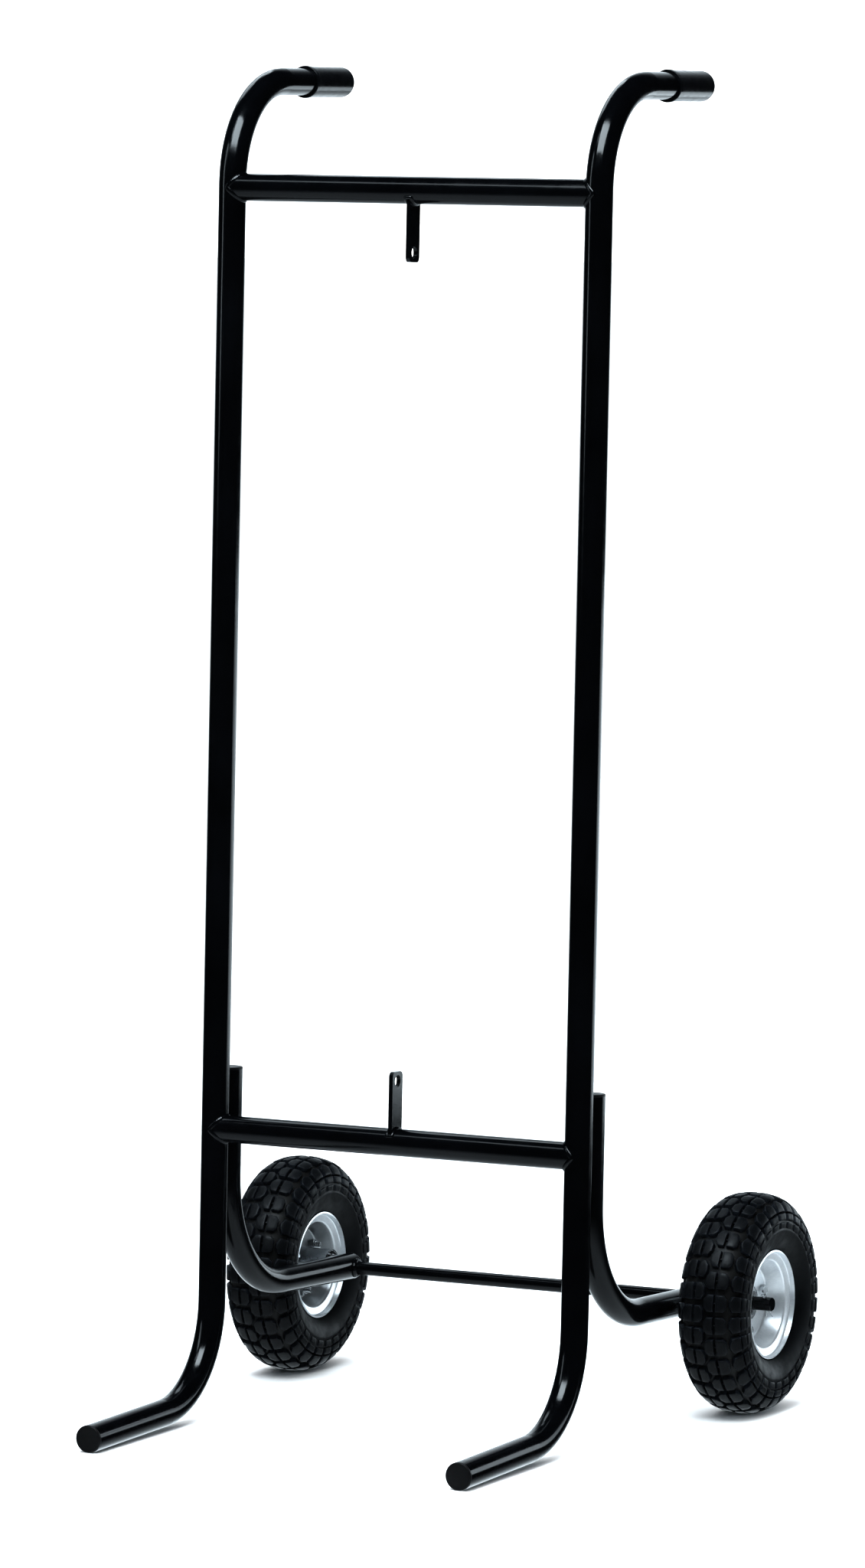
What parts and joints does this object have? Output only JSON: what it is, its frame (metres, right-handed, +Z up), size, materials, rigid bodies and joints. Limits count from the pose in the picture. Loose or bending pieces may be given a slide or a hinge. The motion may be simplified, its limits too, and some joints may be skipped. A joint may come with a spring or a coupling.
{
  "type": "wheeled firewood log rack",
  "caption": "Upright tubular log rack on wheels: two bent rails with feet and handles, crossbars with lugs, and pneumatic wheels on an axle behind.",
  "frame": {"origin": "on the floor, under the centre of the bounding box, midway between the rails", "axes": "+Z up; +X to the side, along the axle; the feet and the logs are on the -Y side and the wheels and handles on the +Y side"},
  "size_m": [0.683, 0.7642, 1.573],
  "materials": {
    "frame_enamel": "gloss black enamel",
    "plug_plastic": "matte black moulded plastic",
    "grip_rubber": "satin black soft vinyl",
    "tyre_rubber": "matte black tyre rubber",
    "tube_rubber": "matte black rubber",
    "seal_rubber": "black seal rubber",
    "rim_steel": "zinc-plated pressed steel, satin",
    "zinc_hardware": "bright zinc plate",
    "bearing_steel": "ground bearing steel"
  },
  "bodies": {
    "frame": {"left_rail": "frame_enamel", "right_rail": "frame_enamel", "upper_crossbar": "frame_enamel", "lower_crossbar": "frame_enamel", "upper_lug": "frame_enamel", "lower_lug": "frame_enamel", "left_wheel_arm": "frame_enamel", "right_wheel_arm": "frame_enamel", "axle": "frame_enamel", "left_foot_plug": "plug_plastic", "left_arm_top_plug": "plug_plastic", "left_arm_rear_plug": "plug_plastic", "left_grip": "grip_rubber", "left_cotter_pin": "zinc_hardware", "left_inner_washer": "zinc_hardware", "left_outer_washer": "zinc_hardware", "left_bearing_inner_races": "bearing_steel", "right_foot_plug": "plug_plastic", "right_arm_top_plug": "plug_plastic", "right_arm_rear_plug": "plug_plastic", "right_grip": "grip_rubber", "right_cotter_pin": "zinc_hardware", "right_inner_washer": "zinc_hardware", "right_outer_washer": "zinc_hardware", "right_bearing_inner_races": "bearing_steel"},
    "left_wheel": {"left_tyre": "tyre_rubber", "left_inner_tube": "tube_rubber", "left_inner_rim_half": "rim_steel", "left_outer_rim_half": "rim_steel", "left_hub": "rim_steel", "left_rim_bolts": "zinc_hardware", "left_rim_nuts": "zinc_hardware", "left_valve_stem": "tube_rubber", "left_valve_cap": "plug_plastic", "left_bearing_outer_races": "bearing_steel", "left_bearing_seals": "seal_rubber"},
    "right_wheel": {"right_tyre": "tyre_rubber", "right_inner_tube": "tube_rubber", "right_inner_rim_half": "rim_steel", "right_outer_rim_half": "rim_steel", "right_hub": "rim_steel", "right_rim_bolts": "zinc_hardware", "right_rim_nuts": "zinc_hardware", "right_valve_stem": "tube_rubber", "right_valve_cap": "plug_plastic", "right_bearing_outer_races": "bearing_steel", "right_bearing_seals": "seal_rubber"},
    "left_ball_set": {"left_bearing_balls": "bearing_steel", "left_bearing_cages": "bearing_steel"},
    "right_ball_set": {"right_bearing_balls": "bearing_steel", "right_bearing_cages": "bearing_steel"}
  },
  "joints": [
    {"name": "left_wheel_spin", "type": "hinge", "parent": "frame", "child": "left_wheel", "pos_m": [-0.299, 0.25212, 0.13], "axis": [1, 0, 0], "continuous": true},
    {"name": "right_wheel_spin", "type": "hinge", "parent": "frame", "child": "right_wheel", "pos_m": [0.299, 0.25212, 0.13], "axis": [1, 0, 0], "continuous": true},
    {"name": "left_ball_set_spin", "type": "hinge", "parent": "frame", "child": "left_ball_set", "pos_m": [-0.299, 0.25212, 0.13], "axis": [1, 0, 0], "continuous": true},
    {"name": "right_ball_set_spin", "type": "hinge", "parent": "frame", "child": "right_ball_set", "pos_m": [0.299, 0.25212, 0.13], "axis": [1, 0, 0], "continuous": true}
  ],
  "couplings": [
    {"joint": "left_ball_set_spin", "follows": "left_wheel_spin", "ratio": 0.6176},
    {"joint": "right_ball_set_spin", "follows": "right_wheel_spin", "ratio": 0.6176}
  ]
}
